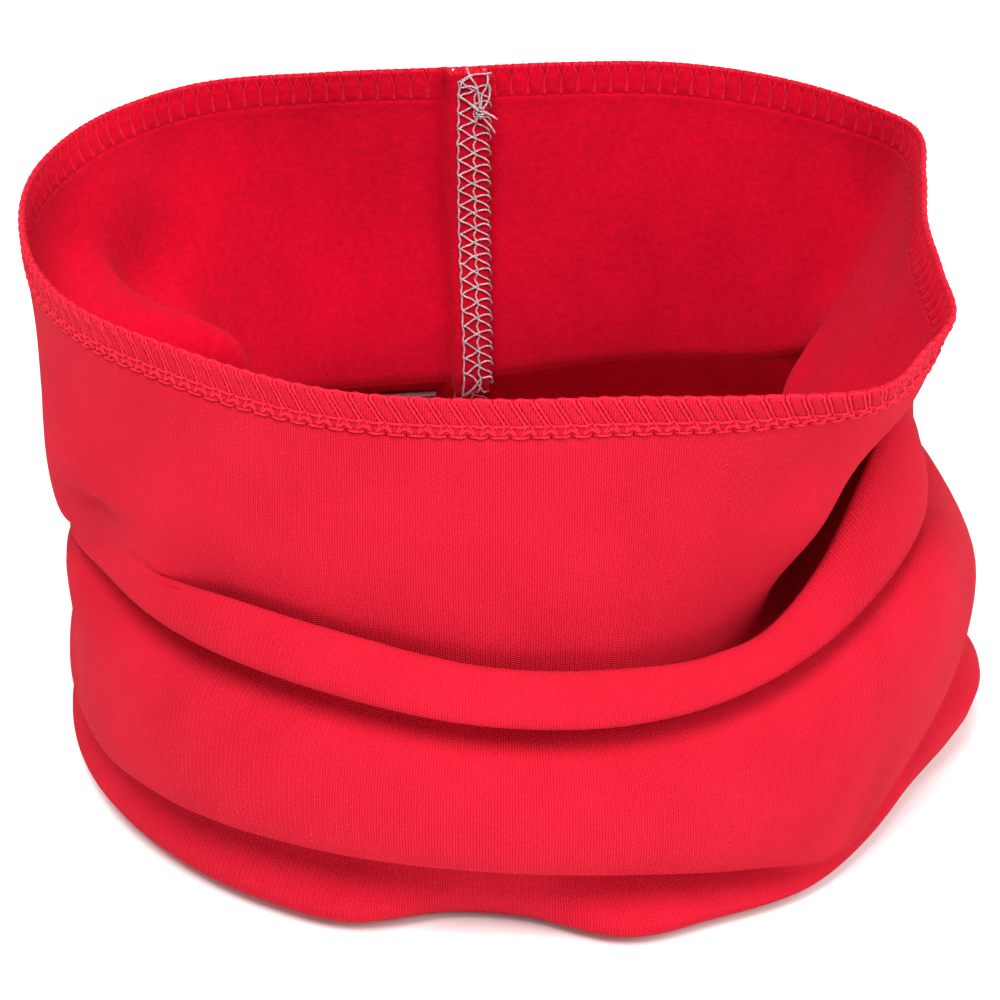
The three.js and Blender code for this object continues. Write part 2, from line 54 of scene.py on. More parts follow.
# The folds of the standing tube, top edge first. Every ring is the outer face as
# [degrees round from the front, radius, height] in millimetres, the same as in the part.
folds = {
    "rim": [[0, 61, 100], [20, 64, 100], [35, 73, 100], [46, 82, 100], [57, 80.5, 100],
            [66, 80, 100], [78, 75, 100], [95, 73.5, 100], [108, 79, 100], [122, 88.5, 100],
            [130, 88, 100], [155, 83, 100], [172, 76.5, 100], [187, 74, 100], [205, 78.5, 100],
            [222, 87, 100], [232, 88.5, 100], [250, 87, 100], [268, 82, 100], [292, 75, 100],
            [308, 68, 100], [335, 63.5, 100]],
    "bandHigh": [[0, 61, 86], [20, 63, 86], [38, 70, 86], [50, 75.5, 86], [60, 76, 87],
                 [70, 71, 87], [85, 66, 86], [102, 71, 85], [116, 80, 85], [125, 87.5, 84],
                 [134, 85, 84], [155, 80, 85], [187, 73, 86], [210, 81, 86], [226, 85, 86],
                 [240, 82.5, 87], [246, 82.8, 85.5], [252, 82, 82.5], [260, 81, 83],
                 [270, 80, 85], [300, 71, 85], [330, 64.5, 86]],
    "bandLow": [[0, 61.5, 70], [20, 62, 70], [35, 65, 70], [48, 70.5, 71], [56, 65, 73],
                [68, 58, 73], [85, 55, 72], [102, 60, 71], [116, 69, 69], [125, 80, 68],
                [135, 80, 68], [155, 77, 68], [187, 72, 67], [210, 79, 68], [226, 79, 72],
                [238, 79, 69], [243, 77, 70], [250, 65, 73.5], [256, 49.8, 74], [263, 57, 73],
                [271, 78.3, 67], [275, 79, 66], [300, 73, 68], [330, 65, 70]],
    "bandFoot": [[0, 59, 49], [20, 59.5, 48], [35, 60.5, 50], [46, 61.5, 55], [60, 55.5, 62],
                 [75, 50, 64], [90, 49.5, 64], [105, 55, 66], [116, 64, 64], [125, 75.5, 61],
                 [140, 76.5, 54], [155, 75, 49], [187, 68.3, 46], [215, 73, 46],
                 [230, 71.5, 57.5], [240, 62, 61], [250, 48.5, 64.5], [258, 48, 64],
                 [267, 72, 56.5], [276, 77.6, 53.5], [292, 72.7, 64], [305, 71, 63],
                 [320, 65.2, 57], [335, 61.3, 51]],
    "pleatOneFloor": [[0, 59, 36], [20, 59.5, 35], [35, 60, 38], [50, 58, 46], [65, 54, 54],
                      [80, 51, 58], [92, 51, 58], [108, 60, 60], [116, 67, 59], [125, 76, 56],
                      [140, 76.5, 47], [155, 75.5, 42], [187, 69, 37], [215, 73, 39],
                      [232, 66.5, 50], [243, 56, 54], [252, 49, 57], [260, 56, 53],
                      [268, 70, 50.5], [276, 75.9, 49.8], [292, 72.6, 61.5], [305, 71, 60],
                      [320, 65, 52], [335, 61, 42]],
    "foldOneRise": [[0, 60.8, 42], [20, 61.4, 41], [35, 62.7, 43], [50, 65, 52], [62, 66.5, 66],
                    [75, 63, 69], [92, 59.5, 66], [108, 67, 66], [125, 80.5, 60],
                    [140, 80.5, 53], [155, 78, 49], [187, 70.8, 46], [215, 76.5, 46],
                    [232, 70, 52], [247, 64, 51], [262, 71, 48.5], [276, 75.7, 49.2],
                    [292, 72.4, 56.5], [305, 70.6, 58.3], [320, 66.6, 55], [335, 62.6, 49]],
    "foldOneCrest": [[0, 63, 53.5], [18, 63.6, 51.8], [32, 65, 51], [42, 67.4, 54],
                     [50, 69.5, 63], [58, 70.8, 76], [66, 70.5, 82.5], [78, 67, 80],
                     [92, 66, 76], [108, 74.5, 75], [125, 86, 71], [150, 83, 60],
                     [187, 78.5, 54.5], [215, 82, 56.5], [235, 79, 54], [250, 77, 51],
                     [262, 73.5, 49], [276, 75.7, 48.7], [292, 72.7, 55], [305, 70.9, 58],
                     [320, 68, 60], [335, 64.8, 58.3]],
    "foldOneBelly": [[0, 69.5, 46.5], [18, 70, 45], [32, 71.5, 46], [42, 73.5, 49],
                     [50, 75.5, 53], [58, 77.5, 58.5], [66, 77.5, 62], [78, 74, 64],
                     [92, 73, 63], [108, 79, 63], [125, 88.5, 60], [150, 88, 52],
                     [187, 86.5, 46], [215, 88, 47.5], [235, 83, 46], [250, 79, 44],
                     [262, 76, 45], [278, 75.8, 48.2], [294, 73.4, 51.3], [308, 72.8, 51.5],
                     [335, 70.3, 50]],
    "pleatTwo": [[0, 62.3, 42.8], [18, 62.5, 42], [32, 64, 43.2], [45, 66.2, 47.3],
                 [55, 67.8, 52.8], [64, 69.2, 56.5], [76, 69.5, 56.5], [92, 70.5, 52],
                 [108, 75.5, 52], [125, 81.5, 49], [150, 82.5, 42], [187, 81.5, 35.5],
                 [215, 82.5, 37], [235, 75.5, 38], [250, 71, 39.5], [270, 73, 46.2],
                 [284, 72, 47.4], [296, 68.5, 48], [310, 65, 47.4], [335, 63, 46.2]],
    "foldTwoTop": [[0, 68.5, 38.5], [18, 69.3, 37.5], [32, 72, 38.5], [45, 75.6, 43],
                   [56, 78.6, 50], [66, 79.5, 56], [78, 79, 54], [92, 80, 47], [108, 83, 44],
                   [125, 87.5, 42], [150, 86.5, 36], [187, 85, 29], [215, 86.5, 31],
                   [235, 82, 32], [250, 78, 35], [270, 77.2, 41.5], [284, 76.4, 43],
                   [296, 74.4, 43.5], [310, 71.8, 43], [335, 69.3, 41.3]],
    "foldTwoBelly": [[0, 72, 27], [18, 73, 27], [35, 76, 29], [50, 80, 34], [65, 83, 40],
                     [78, 84, 40], [92, 85.5, 36], [125, 88.5, 28], [150, 87.5, 25],
                     [187, 85.5, 20], [215, 88, 21], [235, 85, 22], [250, 81.5, 24],
                     [270, 75.6, 32.3], [280, 76.2, 31.3], [290, 77, 30], [308, 75.5, 30],
                     [335, 72.5, 29]],
    "foldTwoLow": [[0, 70, 18], [20, 71.5, 15.5], [35, 74, 12], [48, 77, 9], [62, 78.5, 15],
                   [76, 82, 22], [92, 84.5, 24], [105, 85, 21], [125, 88, 16], [150, 86.5, 14],
                   [187, 85, 13], [215, 86.5, 13], [235, 84, 13], [250, 81.5, 13],
                   [270, 78.2, 21.5], [280, 77.6, 18.5], [290, 76, 15], [308, 74, 16.5],
                   [335, 70.5, 18]],
    "pleatThree": [[0, 62, 15], [20, 63.8, 12.5], [35, 67.5, 8.8], [48, 75, 5.5],
                   [62, 76.5, 10], [76, 79.5, 17], [92, 83.5, 19], [105, 84, 15], [125, 86, 11],
                   [150, 85, 9.5], [187, 84.2, 9.5], [215, 85, 9.5], [235, 82, 9], [250, 80, 9],
                   [270, 76.5, 9.5], [290, 72.5, 11], [308, 67.8, 13.5], [335, 62.6, 14.6]],
    "foldThree": [[352, 62, 5], [4, 62.5, 4.5], [18, 71, 3.5], [30, 72, 3.2], [44, 75, 2.7],
                  [58, 76.5, 5], [72, 80, 11], [84, 86.5, 12], [98, 89.5, 9], [112, 89, 6],
                  [125, 88, 5], [150, 86, 5], [187, 82.5, 5], [215, 85.5, 5], [235, 83.5, 5],
                  [250, 82, 4.5], [270, 79, 4.5], [290, 76, 4.5], [308, 73, 4.5],
                  [325, 70.5, 4], [338, 68.5, 3.5]],
    "under": [[352, 57, 0], [5, 58, 0], [18, 65, 0], [35, 67, 0], [50, 70, 0], [72, 74.5, 0],
              [90, 81, 0], [110, 83, 0], [125, 82, 0], [150, 79, 0], [187, 76, 0], [215, 79, 0],
              [235, 77, 0], [250, 75.5, 0], [270, 72.5, 0], [290, 70, 0], [308, 67.5, 0],
              [325, 65, 0], [338, 62, 0]],
    "heel": [],
    "tuck": [[352, 54, 5], [5, 55, 5], [18, 61, 5], [35, 63, 5], [50, 65.5, 5], [72, 69.5, 5],
             [90, 76, 5], [110, 78, 4], [125, 76, 3], [150, 73, 1.8], [187, 70, 1.8],
             [215, 73, 1.8], [235, 71, 2.5], [250, 70, 4], [270, 67.5, 5], [290, 65.5, 5],
             [308, 63.5, 5], [325, 61, 5], [338, 58.5, 5]],
    "bottomEdge": [[352, 57, 26], [5, 57.5, 26], [18, 60, 26], [35, 62, 25], [50, 64, 24],
                   [72, 67, 22], [90, 72, 18], [110, 73, 12], [125, 72, 8], [150, 67, 5],
                   [187, 63, 3], [215, 67, 4.5], [235, 67, 7], [250, 66, 11], [270, 64.5, 18],
                   [290, 63.5, 24], [308, 62, 25], [325, 60, 26], [338, 58, 26]],
}

cloth = {
    "thickness": 1.15,       # mm, brushed stretch jersey
    "layerGap": 0.2,         # between the layers at the back seam
    "allowance": 6.3,        # raw edges beyond the seam
    "seamAngle": 187,        # where the seam stands, degrees round from the front
    "restWidth": 3,          # flat ring that it stands on
    "stitches": 155,         # overlock stitches round each edge
    "seamPitch": 3.1,        # mm from stitch to stitch down the back seam
    "edgeZone": 6.75,        # how far the fine mesh reaches in from each edge
    "edgeStep": 0.45,
    "softening": 3,          # rounds of smoothing over the folds
    "needleOne": 3.9,        # needle lines, in from the edge
    "needleTwo": 5.8,
    "slant": 0.58,           # how far the looper threads lean, across per mm down
}


def closedRing(points):
    # a smooth closed line through [degrees, radius, height] points
    known = np.array(sorted(points), float)
    count = len(known)
    turn = np.concatenate([known[-1:, 0] - 360, known[:, 0], known[:1, 0] + 360])
    value = np.concatenate([known[-1:, 1:], known[:, 1:], known[:1, 1:]])
    span = turn[1:] - turn[:-1]
    slope = (value[1:] - value[:-1]) / span[:, None]
    tangent = slope[:-1] * span[1:, None] + slope[1:] * span[:-1, None]
    tangent = tangent / (span[:-1] + span[1:])[:, None]

    def at(degrees):
        a = np.asarray(degrees, float) % 360
        low = np.searchsorted(known[:, 0], a, side="right") - 1
        high = (low + 1) % count
        start = np.where(low < 0, known[-1, 0] - 360, known[low % count, 0])
        end = np.where(low >= count - 1, known[0, 0] + 360, known[high, 0])
        wide = (end - start)[:, None]
        t = (a - start)[:, None] / wide
        low = low % count
        return ((2 * t ** 3 - 3 * t ** 2 + 1) * known[low, 1:]
                + (t ** 3 - 2 * t ** 2 + t) * tangent[low] * wide
                + (3 * t ** 2 - 2 * t ** 3) * known[high, 1:]
                + (t ** 3 - t ** 2) * tangent[high] * wide)
    return at


def ringPoints(points, degrees):
    shape = closedRing(points)(degrees)
    turn = np.radians(degrees)
    return np.stack([shape[:, 0] * np.sin(turn), -shape[:, 0] * np.cos(turn),
                     np.maximum(shape[:, 1], 0)], 1)


def downTheFolds(degrees, steps):
    # rows of points from the top edge to the bottom edge, steps[i] rows after each ring
    rings = [ringPoints(points, degrees) for points in folds.values()]
    last = len(rings) - 1
    rows = []
    for i in range(last):
        before = rings[i - 1] if i else 2 * rings[0] - rings[1]
        after = rings[i + 2] if i + 2 <= last else 2 * rings[last] - rings[last - 1]
        here, there = rings[i], rings[i + 1]
        gap = [np.sqrt(np.linalg.norm(b - a, axis=1))[:, None] + 1e-6
               for a, b in ((before, here), (here, there), (there, after))]
        leave = ((here - before) / gap[0] - (there - before) / (gap[0] + gap[1])
                 + (there - here) / gap[1]) * gap[1]
        arrive = ((there - here) / gap[1] - (after - here) / (gap[1] + gap[2])
                  + (after - there) / gap[2]) * gap[1]
        for k in range(steps[i] + (i == last - 1)):
            t = k / steps[i]
            rows.append((2 * t ** 3 - 3 * t ** 2 + 1) * here + (t ** 3 - 2 * t ** 2 + t) * leave
                        + (3 * t ** 2 - 2 * t ** 3) * there + (t ** 3 - t ** 2) * arrive)
    return np.array(rows)


folds["heel"] = [[a, radius - cloth["restWidth"], 0] for a, radius, height in folds["under"]]

# The part's own grid of points, only to learn how far its frame was moved
partColumns = 48
partSteps = [4] + [2] * (len(folds) - 3) + [4]
partAngles = cloth["seamAngle"] + np.arange(1, partColumns) * 360 / partColumns
partGrid = downTheFolds(partAngles, partSteps).reshape(-1, 3)
panelLow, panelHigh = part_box("body_panel")
shiftLow = np.array(panelLow) / mm - partGrid.min(0)
shiftHigh = np.array(panelHigh) / mm - partGrid.max(0)
shift = (shiftLow + shiftHigh) / 2
shift[2] = 0
print("frame shift", shiftLow.round(2), shiftHigh.round(2))

# Camera first
view = {
    "lens": 113.4,
    "place": (0, -485, 328),    # mm
    "tilt": 60,                 # degrees up from straight down
}
camera = bpy.data.objects.new("camera", bpy.data.cameras.new("camera"))
bpy.context.scene.collection.objects.link(camera)
camera.data.lens = view["lens"]
camera.data.sensor_width = 36
camera.data.clip_start = 0.01
camera.location = np.array(view["place"]) * mm + shift * mm
camera.rotation_euler = (math.radians(view["tilt"]), 0, 0)
bpy.context.scene.camera = camera
bpy.context.scene.view_settings.view_transform = "Standard"


def soften(grid, rounds):
    # evens out the folds; the first and last rows stay
    for _ in range(rounds):
        around = (np.roll(grid, 1, 1) + np.roll(grid, -1, 1)) / 2
        grid = grid + 0.5 * (around - grid)
        inner = (grid[:-2] + grid[2:]) / 2
        grid[1:-1] += 0.5 * (inner - grid[1:-1])
    return grid


def lengthsAlong(points):
    step = np.linalg.norm(np.diff(points, axis=0), axis=1)
    return np.concatenate([[0], np.cumsum(step)])

perRing = 14        # rows between two rings while the folds are shaped
meshRows = [3, 5, 6, 6, 7, 8, 7, 8, 6, 6, 6, 5, 6, 4, 2, 3, 2]    # mesh rows between two rings
perStitch = 8       # columns round the tube for each overlock stitch
around = 496.0      # mm round the tube, laid flat
tracePoints = 1440  # points that trace the top edge to space the columns


class Tube:
    # the outer face as an even grid: columns by distance from the seam, rows by distance down
    def __init__(self):
        # the columns stand evenly along the top edge and run straight down
        turn = cloth["seamAngle"] - np.arange(tracePoints + 1) * 360 / tracePoints
        length = lengthsAlong(ringPoints(folds["rim"], turn))
        self.columns = cloth["stitches"] * perStitch
        share = np.arange(self.columns) / self.columns
        angles = np.interp(share * length[-1], length, turn)
        even = downTheFolds(angles, [perRing] * (len(folds) - 1))
        even = soften(even, cloth["softening"])
        even[..., 2] = np.maximum(even[..., 2], 0)
        zone = np.arange(0, cloth["edgeZone"] + 0.01, cloth["edgeStep"])
        self.zoneRows = len(zone)
        self.rows = 2 * len(zone) + sum(meshRows) - 1
        self.point = np.empty((self.rows, self.columns, 3))
        self.down = np.empty((self.rows, self.columns))
        self.ringDown = np.empty((len(folds), self.columns))
        for c in range(self.columns):
            length = lengthsAlong(even[:, c])
            total = length[-1]
            stops = length[::perRing].copy()
            stops[0] = zone[-1]
            stops[-1] = total - zone[-1]
            stops[-2] = min(stops[-2], stops[-1] - 0.4)
            body = [stops[i] + (stops[i + 1] - stops[i]) * k / n
                    for i, n in enumerate(meshRows) for k in range(n)]
            wanted = np.concatenate([zone, body[1:], total - zone[::-1]])
            self.down[:, c] = wanted
            self.ringDown[:, c] = length[::perRing]
            for k in range(3):
                self.point[:, c, k] = np.interp(wanted, length, even[:, c, k])
        self.point = self.point + shift
        across = np.roll(self.point, -2, 1) - np.roll(self.point, 2, 1)
        inward = np.cross(np.gradient(self.point, axis=0), across)
        inward /= np.linalg.norm(inward, axis=2)[..., None]
        outwards = self.point[3] - self.point[3].mean(0)
        if (outwards * inward[3]).sum() > 0:
            inward = -inward
        self.inward = inward

    def sample(self, grid, s, row):
        # bilinear, with s in mm to the right of the seam
        column = np.mod(np.asarray(s, float) / around * self.columns, self.columns)
        row = np.clip(np.asarray(row, float), 0, self.rows - 1.001)
        c0, r0 = np.floor(column).astype(int) % self.columns, np.floor(row).astype(int)
        c1 = (c0 + 1) % self.columns
        cf, rf = column - np.floor(column), row - r0
        if grid.ndim == 3:
            cf, rf = cf[..., None], rf[..., None]
        return ((grid[r0, c0] * (1 - cf) + grid[r0, c1] * cf) * (1 - rf)
                + (grid[r0 + 1, c0] * (1 - cf) + grid[r0 + 1, c1] * cf) * rf)

    def place(self, s, row, depth):
        # a point on the fabric, and the way into the tube there
        inward = self.sample(self.inward, s, row)
        inward /= np.linalg.norm(inward, axis=-1)[..., None]
        return self.sample(self.point, s, row) + inward * np.asarray(depth)[..., None], inward

    def edgeRow(self, inset, bottom):
        row = np.asarray(inset, float) / cloth["edgeStep"]
        return self.rows - 1 - row if bottom else row

    def rowAt(self, s, distance):
        column = int(round(s / around * self.columns)) % self.columns
        return np.interp(distance, self.down[:, column], np.arange(self.rows))


tube = Tube()
print("tube grid", tube.point.shape, "length", tube.down[-1].min().round(1),
      tube.down[-1].mean().round(1), tube.down[-1].max().round(1))

pitch = around / cloth["stitches"]


def bump(x, width):
    return np.exp(-(x / width) ** 2)


def between(x, low, high, soft=0.5):
    return np.clip((x - low) / soft, 0, 1) * np.clip((high - x) / soft, 0, 1)


# How far the stitches swell (+) or press (-) the fabric near an edge, in mm
pucker = {
    "lobe": 0.13, "legs": 0.3, "holes": 0.45, "middle": 0.14, "foot": 0.12,    # outside
    "slit": 0.2, "slitDeep": 0.55, "fork": 0.16, "ridge": 0.16, "ridgeFoot": 0.14,    # inside
    "legOne": 0.02, "legTwo": 0.78, "legWidth": 0.28,    # where a pair of looper legs lies
}


def outerPucker(s, d):
    one, two = cloth["needleOne"], cloth["needleTwo"]
    x = np.mod(s + cloth["slant"] * (d - one), pitch) - pitch / 2    # 0 at each pair of legs
    legs = sum(bump(x - pucker[leg], pucker["legWidth"]) for leg in ("legOne", "legTwo"))
    lobes = pucker["lobe"] - pucker["legs"] * legs
    lobes = lobes * between(d, 0.1, one - 0.1, 0.7)
    xs = np.mod(s, pitch) - pitch / 2
    holes = -pucker["holes"] * bump(xs, 0.4) * (bump(d - one, 0.4) + bump(d - two, 0.4))
    middle = pucker["middle"] * bump(d - (one + two) / 2, 0.6)
    middle = middle * (1 - 0.8 * bump(np.abs(xs) - 0.8, 0.3))
    return lobes + holes + middle - pucker["foot"] * bump(d - two - 0.35, 0.3)


def innerPucker(s, d):
    x = np.mod(s, pitch) - pitch / 2
    slits = (pucker["slit"] - pucker["slitDeep"] * bump(x, 0.42)) * between(d, 1.2, 5.5, 0.9)
    arms = np.abs(x) - np.clip(2.3 - d, 0, 2.3) * 0.44
    fork = -pucker["fork"] * bump(arms, 0.3) * between(d, 0, 2.3)
    edge = pucker["ridge"] * bump(d - 6.1, 0.28) - pucker["ridgeFoot"] * bump(d - 5.55, 0.3)
    return slits + fork + edge


# The panel's two faces as chains round the tube: [mm right of the seam, depth]. Both ends turn
# in at the seam and lie to the right, one on the other.
thick, gap, reach = cloth["thickness"], cloth["layerGap"], cloth["allowance"]
half, clear = thick + gap / 2, 0.03
foldTurn = [math.pi * k / 4 for k in range(4, -1, -1)]
underStack = 2 * thick + 2 * gap
stackDepth = 3 * thick + 2 * gap
rightFace = [(reach, 2 * half), (4.5, 2 * half), (2.9, 2 * half)] + [
    (clear + half - half * math.sin(a), half - half * math.cos(a)) for a in foldTurn]
rightBack = [(reach, thick + gap), (4.5, thick + gap), (2.9, thick + gap)] + [
    (clear + half - gap / 2 * math.sin(a), half - gap / 2 * math.cos(a)) for a in foldTurn]
leftFace = [(-1.4, 0), (-0.5, 0.37), (-0.03, 1.25), (-0.03, 1.95), (-0.03, underStack - 0.1),
            (0.1, underStack), (2.9, underStack), (4.5, underStack), (reach, underStack)]
leftBack = [(-2.3, thick), (-1.9, thick + 0.05), (-1.5, thick + 0.4), (-1.35, thick + 1.2),
            (-1.2, stackDepth - 0.8), (-0.7, stackDepth - 0.12), (2.9, stackDepth),
            (4.5, stackDepth), (reach, stackDepth)]
coarseStep = 4
mainColumns = np.arange(coarseStep, tube.columns - 2 * coarseStep + 1) * around / tube.columns
mainCoarse = np.arange(len(mainColumns)) % coarseStep == 0


def chain(right, depth, left):
    ends = np.array(right, float), np.array([(around + s, d) for s, d in left], float)
    middle = np.column_stack([mainColumns, np.full(len(mainColumns), depth)])
    return np.concatenate([ends[0], middle, ends[1]])


def meshPiece(name, vertices, faces, maps=None, slots=None):
    # vertices in mm; maps holds corner coordinates by name
    data = bpy.data.meshes.new(name)
    data.from_pydata((np.asarray(vertices) * mm).tolist(), [], faces)
    for label, corners in (maps or {}).items():
        layer = data.uv_layers.new(name=label)
        layer.data.foreach_set("uv", np.asarray(corners, np.float32).ravel())
    if slots is not None:
        data.polygons.foreach_set("material_index", np.asarray(slots, np.int32))
    data.polygons.foreach_set("use_smooth", np.ones(len(faces), bool))
    data.update()
    piece = bpy.data.objects.new(name, data)
    bpy.context.scene.collection.objects.link(piece)
    return piece


# Where the two raw ends lie beside the panel in its flat map, in mm
endStrips = {"margin": 8, "inset": 5, "thick": 2, "apart": 2.5}


def panelMesh():
    face, back = chain(rightFace, 0, leftFace), chain(rightBack, thick, leftBack)
    count = len(face)
    isCoarse = np.ones(count, bool)
    isMain = np.zeros(count, bool)
    start = len(rightFace)
    isMain[start:start + len(mainColumns)] = True
    isCoarse[start:start + len(mainColumns)] = mainCoarse
    rows = np.arange(tube.rows)
    fadeIn = np.clip((face[:, 0] - 2) / 3, 0, 1) * np.clip((around - 2.5 - face[:, 0]) / 2, 0, 1)
    grids = []
    for line, puckerAt, sign in ((face, outerPucker, -1), (back, innerPucker, 1)):
        s, row = np.meshgrid(line[:, 0], rows)
        depth = np.tile(line[:, 1], (tube.rows, 1))
        top = row * cloth["edgeStep"]
        bottom = (tube.rows - 1 - row) * cloth["edgeStep"]
        swell = np.where(row < tube.zoneRows, puckerAt(s, top), 0)
        swell += np.where(bottom / cloth["edgeStep"] < tube.zoneRows, puckerAt(s, bottom), 0)
        depth = depth + sign * swell * np.where(isMain, fadeIn, 0)
        point, _ = tube.place(s, row, depth)
        point[..., 2] = np.maximum(point[..., 2], 0.01)
        grids.append(point)
    front, rear = grids
    loop = [front[r] for r in rows]
    fine = [r < tube.zoneRows for r in rows]
    turns = [math.pi * k / 4 for k in (1, 2, 3)]
    overRows = len(turns)

    def rounded(a, b, beyond):
        # rows over an edge from face a to face b
        middle = (a + b) / 2
        radius = np.linalg.norm(a - middle, axis=1)[:, None]
        return [middle + (a - middle) * math.cos(t) + beyond * radius * math.sin(t) for t in turns]

    def unit(v):
        return v / np.linalg.norm(v, axis=1)[:, None]

    lower = unit(front[-1] + rear[-1] - front[-3] - rear[-3])
    upper = unit(front[0] + rear[0] - front[2] - rear[2])
    loop += rounded(front[-1], rear[-1], lower)
    fine += [False] * overRows
    loop += [rear[r] for r in rows[::-1]]
    fine += [r < tube.zoneRows for r in rows[::-1]]
    loop += rounded(rear[0], front[0], upper)
    fine += [True] * overRows
    loop = np.array(loop)
    total = len(loop)
    coarse = np.flatnonzero(isCoarse)
    used = np.array([np.ones(count, bool) if f else isCoarse for f in fine])
    index = np.cumsum(used.ravel()).reshape(used.shape) - 1
    vertices = loop[used]
    faces, corners, slots = [], [], []
    backStart = tube.rows + overRows - 1

    def add(pairs, slot):
        faces.append([int(index[r % total, c]) for r, c in pairs])
        corners.extend(pairs)
        slots.append(slot)

    for r in range(total):
        nextRow = (r + 1) % total
        slot = 1 if backStart <= r < backStart + tube.rows else 0
        if fine[r] and fine[nextRow]:
            for c in range(count - 1):
                add([(r, c), (r + 1, c), (r + 1, c + 1), (r, c + 1)], slot)
            continue
        for a, b in zip(coarse[:-1], coarse[1:]):
            upperRow = range(b, a - 1, -1) if fine[r] else (b, a)
            lowerRow = range(a, b + 1) if fine[nextRow] else (a, b)
            add([(r + 1, c) for c in lowerRow] + [(r, c) for c in upperRow], slot)
    # raw ends at the seam
    mirror = tube.rows + overRows
    for c, flip in ((0, False), (count - 1, True)):
        for r in range(tube.rows - 1):
            other = mirror + tube.rows - 1 - r
            ring = [(r, c), (other, c), (other - 1, c), (r + 1, c)]
            add(ring[::-1] if flip else ring, 1)
        low = [(tube.rows - 1 + k, c) for k in range(overRows + 2)]
        high = [(mirror + tube.rows - 1 + k, c) for k in range(overRows + 1)] + [(0, c)]
        add(low if flip else low[::-1], 1)
        add(high if flip else high[::-1], 1)
    firstThree = np.array([f[:3] for f in faces])
    a, b, c = (vertices[firstThree[:, k]] for k in range(3))
    volume = (a * np.cross(b, c)).sum()
    place = np.array(corners)
    rowOf = place[:, 0]
    wrapped = rowOf % total
    meanDown = tube.down.mean(1)
    overEdge = cloth["edgeStep"] * np.arange(1, overRows + 2)
    loopDown = np.concatenate([meanDown, meanDown[-1] + overEdge[:overRows],
                               meanDown[-1] + overEdge[-1] + meanDown[-1] - meanDown[::-1],
                               2 * meanDown[-1] + overEdge[-1] + overEdge])
    fibre = np.concatenate([tube.down, np.repeat(tube.down[-1:], overRows, 0), tube.down[::-1],
                            np.zeros((overRows, tube.columns))])
    side = np.where((wrapped >= tube.rows) & (wrapped < total - overRows), 1, 0)
    sOf = np.where(side == 1, back[place[:, 1], 0], face[place[:, 1], 0])
    column = np.mod(np.round(sOf / around * tube.columns).astype(int), tube.columns)
    knitMap = np.column_stack([sOf * mm, -fibre[wrapped, column] * mm])
    inset = np.minimum(fibre, fibre.max(0) - fibre)[wrapped, column]
    edgeMap = np.column_stack([sOf, inset]) * mm
    chainLength = lengthsAlong(np.column_stack([face[:, 0], face[:, 1], face[:, 1] * 0]))
    width = chainLength[-1] + endStrips["margin"]
    bakeMap = np.column_stack([chainLength[place[:, 1]], loopDown[np.minimum(rowOf, total)]])
    endFaces = 2 * (tube.rows + 1)
    capStart = sum(len(f) for f in faces[:len(faces) - endFaces])
    bakeMap[capStart:, 0] = (width - endStrips["inset"] + endStrips["thick"] * side[capStart:]
                             + (place[capStart:, 1] > 0) * endStrips["apart"])
    bakeMap[capStart:, 1] = np.where(side, 2 * meanDown[-1] - loopDown[wrapped], loopDown[wrapped]
                                     )[capStart:]
    if volume < 0:
        sizes = [len(f) for f in faces]
        faces = [f[::-1] for f in faces]
        starts = np.concatenate([[0], np.cumsum(sizes)])
        order = np.concatenate([np.arange(e - 1, s - 1, -1) for s, e in
                                zip(starts[:-1], starts[1:])])
        knitMap, bakeMap, edgeMap = knitMap[order], bakeMap[order], edgeMap[order]
    maps = {"knit": knitMap, "edge": edgeMap, "OFBake": bakeMap / width}
    return meshPiece("gaiterPanel", vertices, faces, maps, slots)


# Shader maths, written as expressions on sockets
class Wire:
    def __init__(self, finish, socket):
        self.finish, self.socket = finish, socket

    def math(self, operation, *others):
        values = dict(enumerate([self, *others]))
        return self.finish.node("ShaderNodeMath", {"operation": operation}, values)

    def __add__(self, other):
        return self.math("ADD", other)

    def __mul__(self, other):
        return self.math("MULTIPLY", other)

    def __sub__(self, other):
        return self.math("SUBTRACT", other)

    def __rsub__(self, other):
        return (self * -1).math("ADD", other)

    def __truediv__(self, other):
        return self.math("DIVIDE", other)

    def __pow__(self, other):
        return self.math("POWER", other)

    def __mod__(self, other):
        return self.math("FLOORED_MODULO", other)

    __radd__ = __add__
    __rmul__ = __mul__


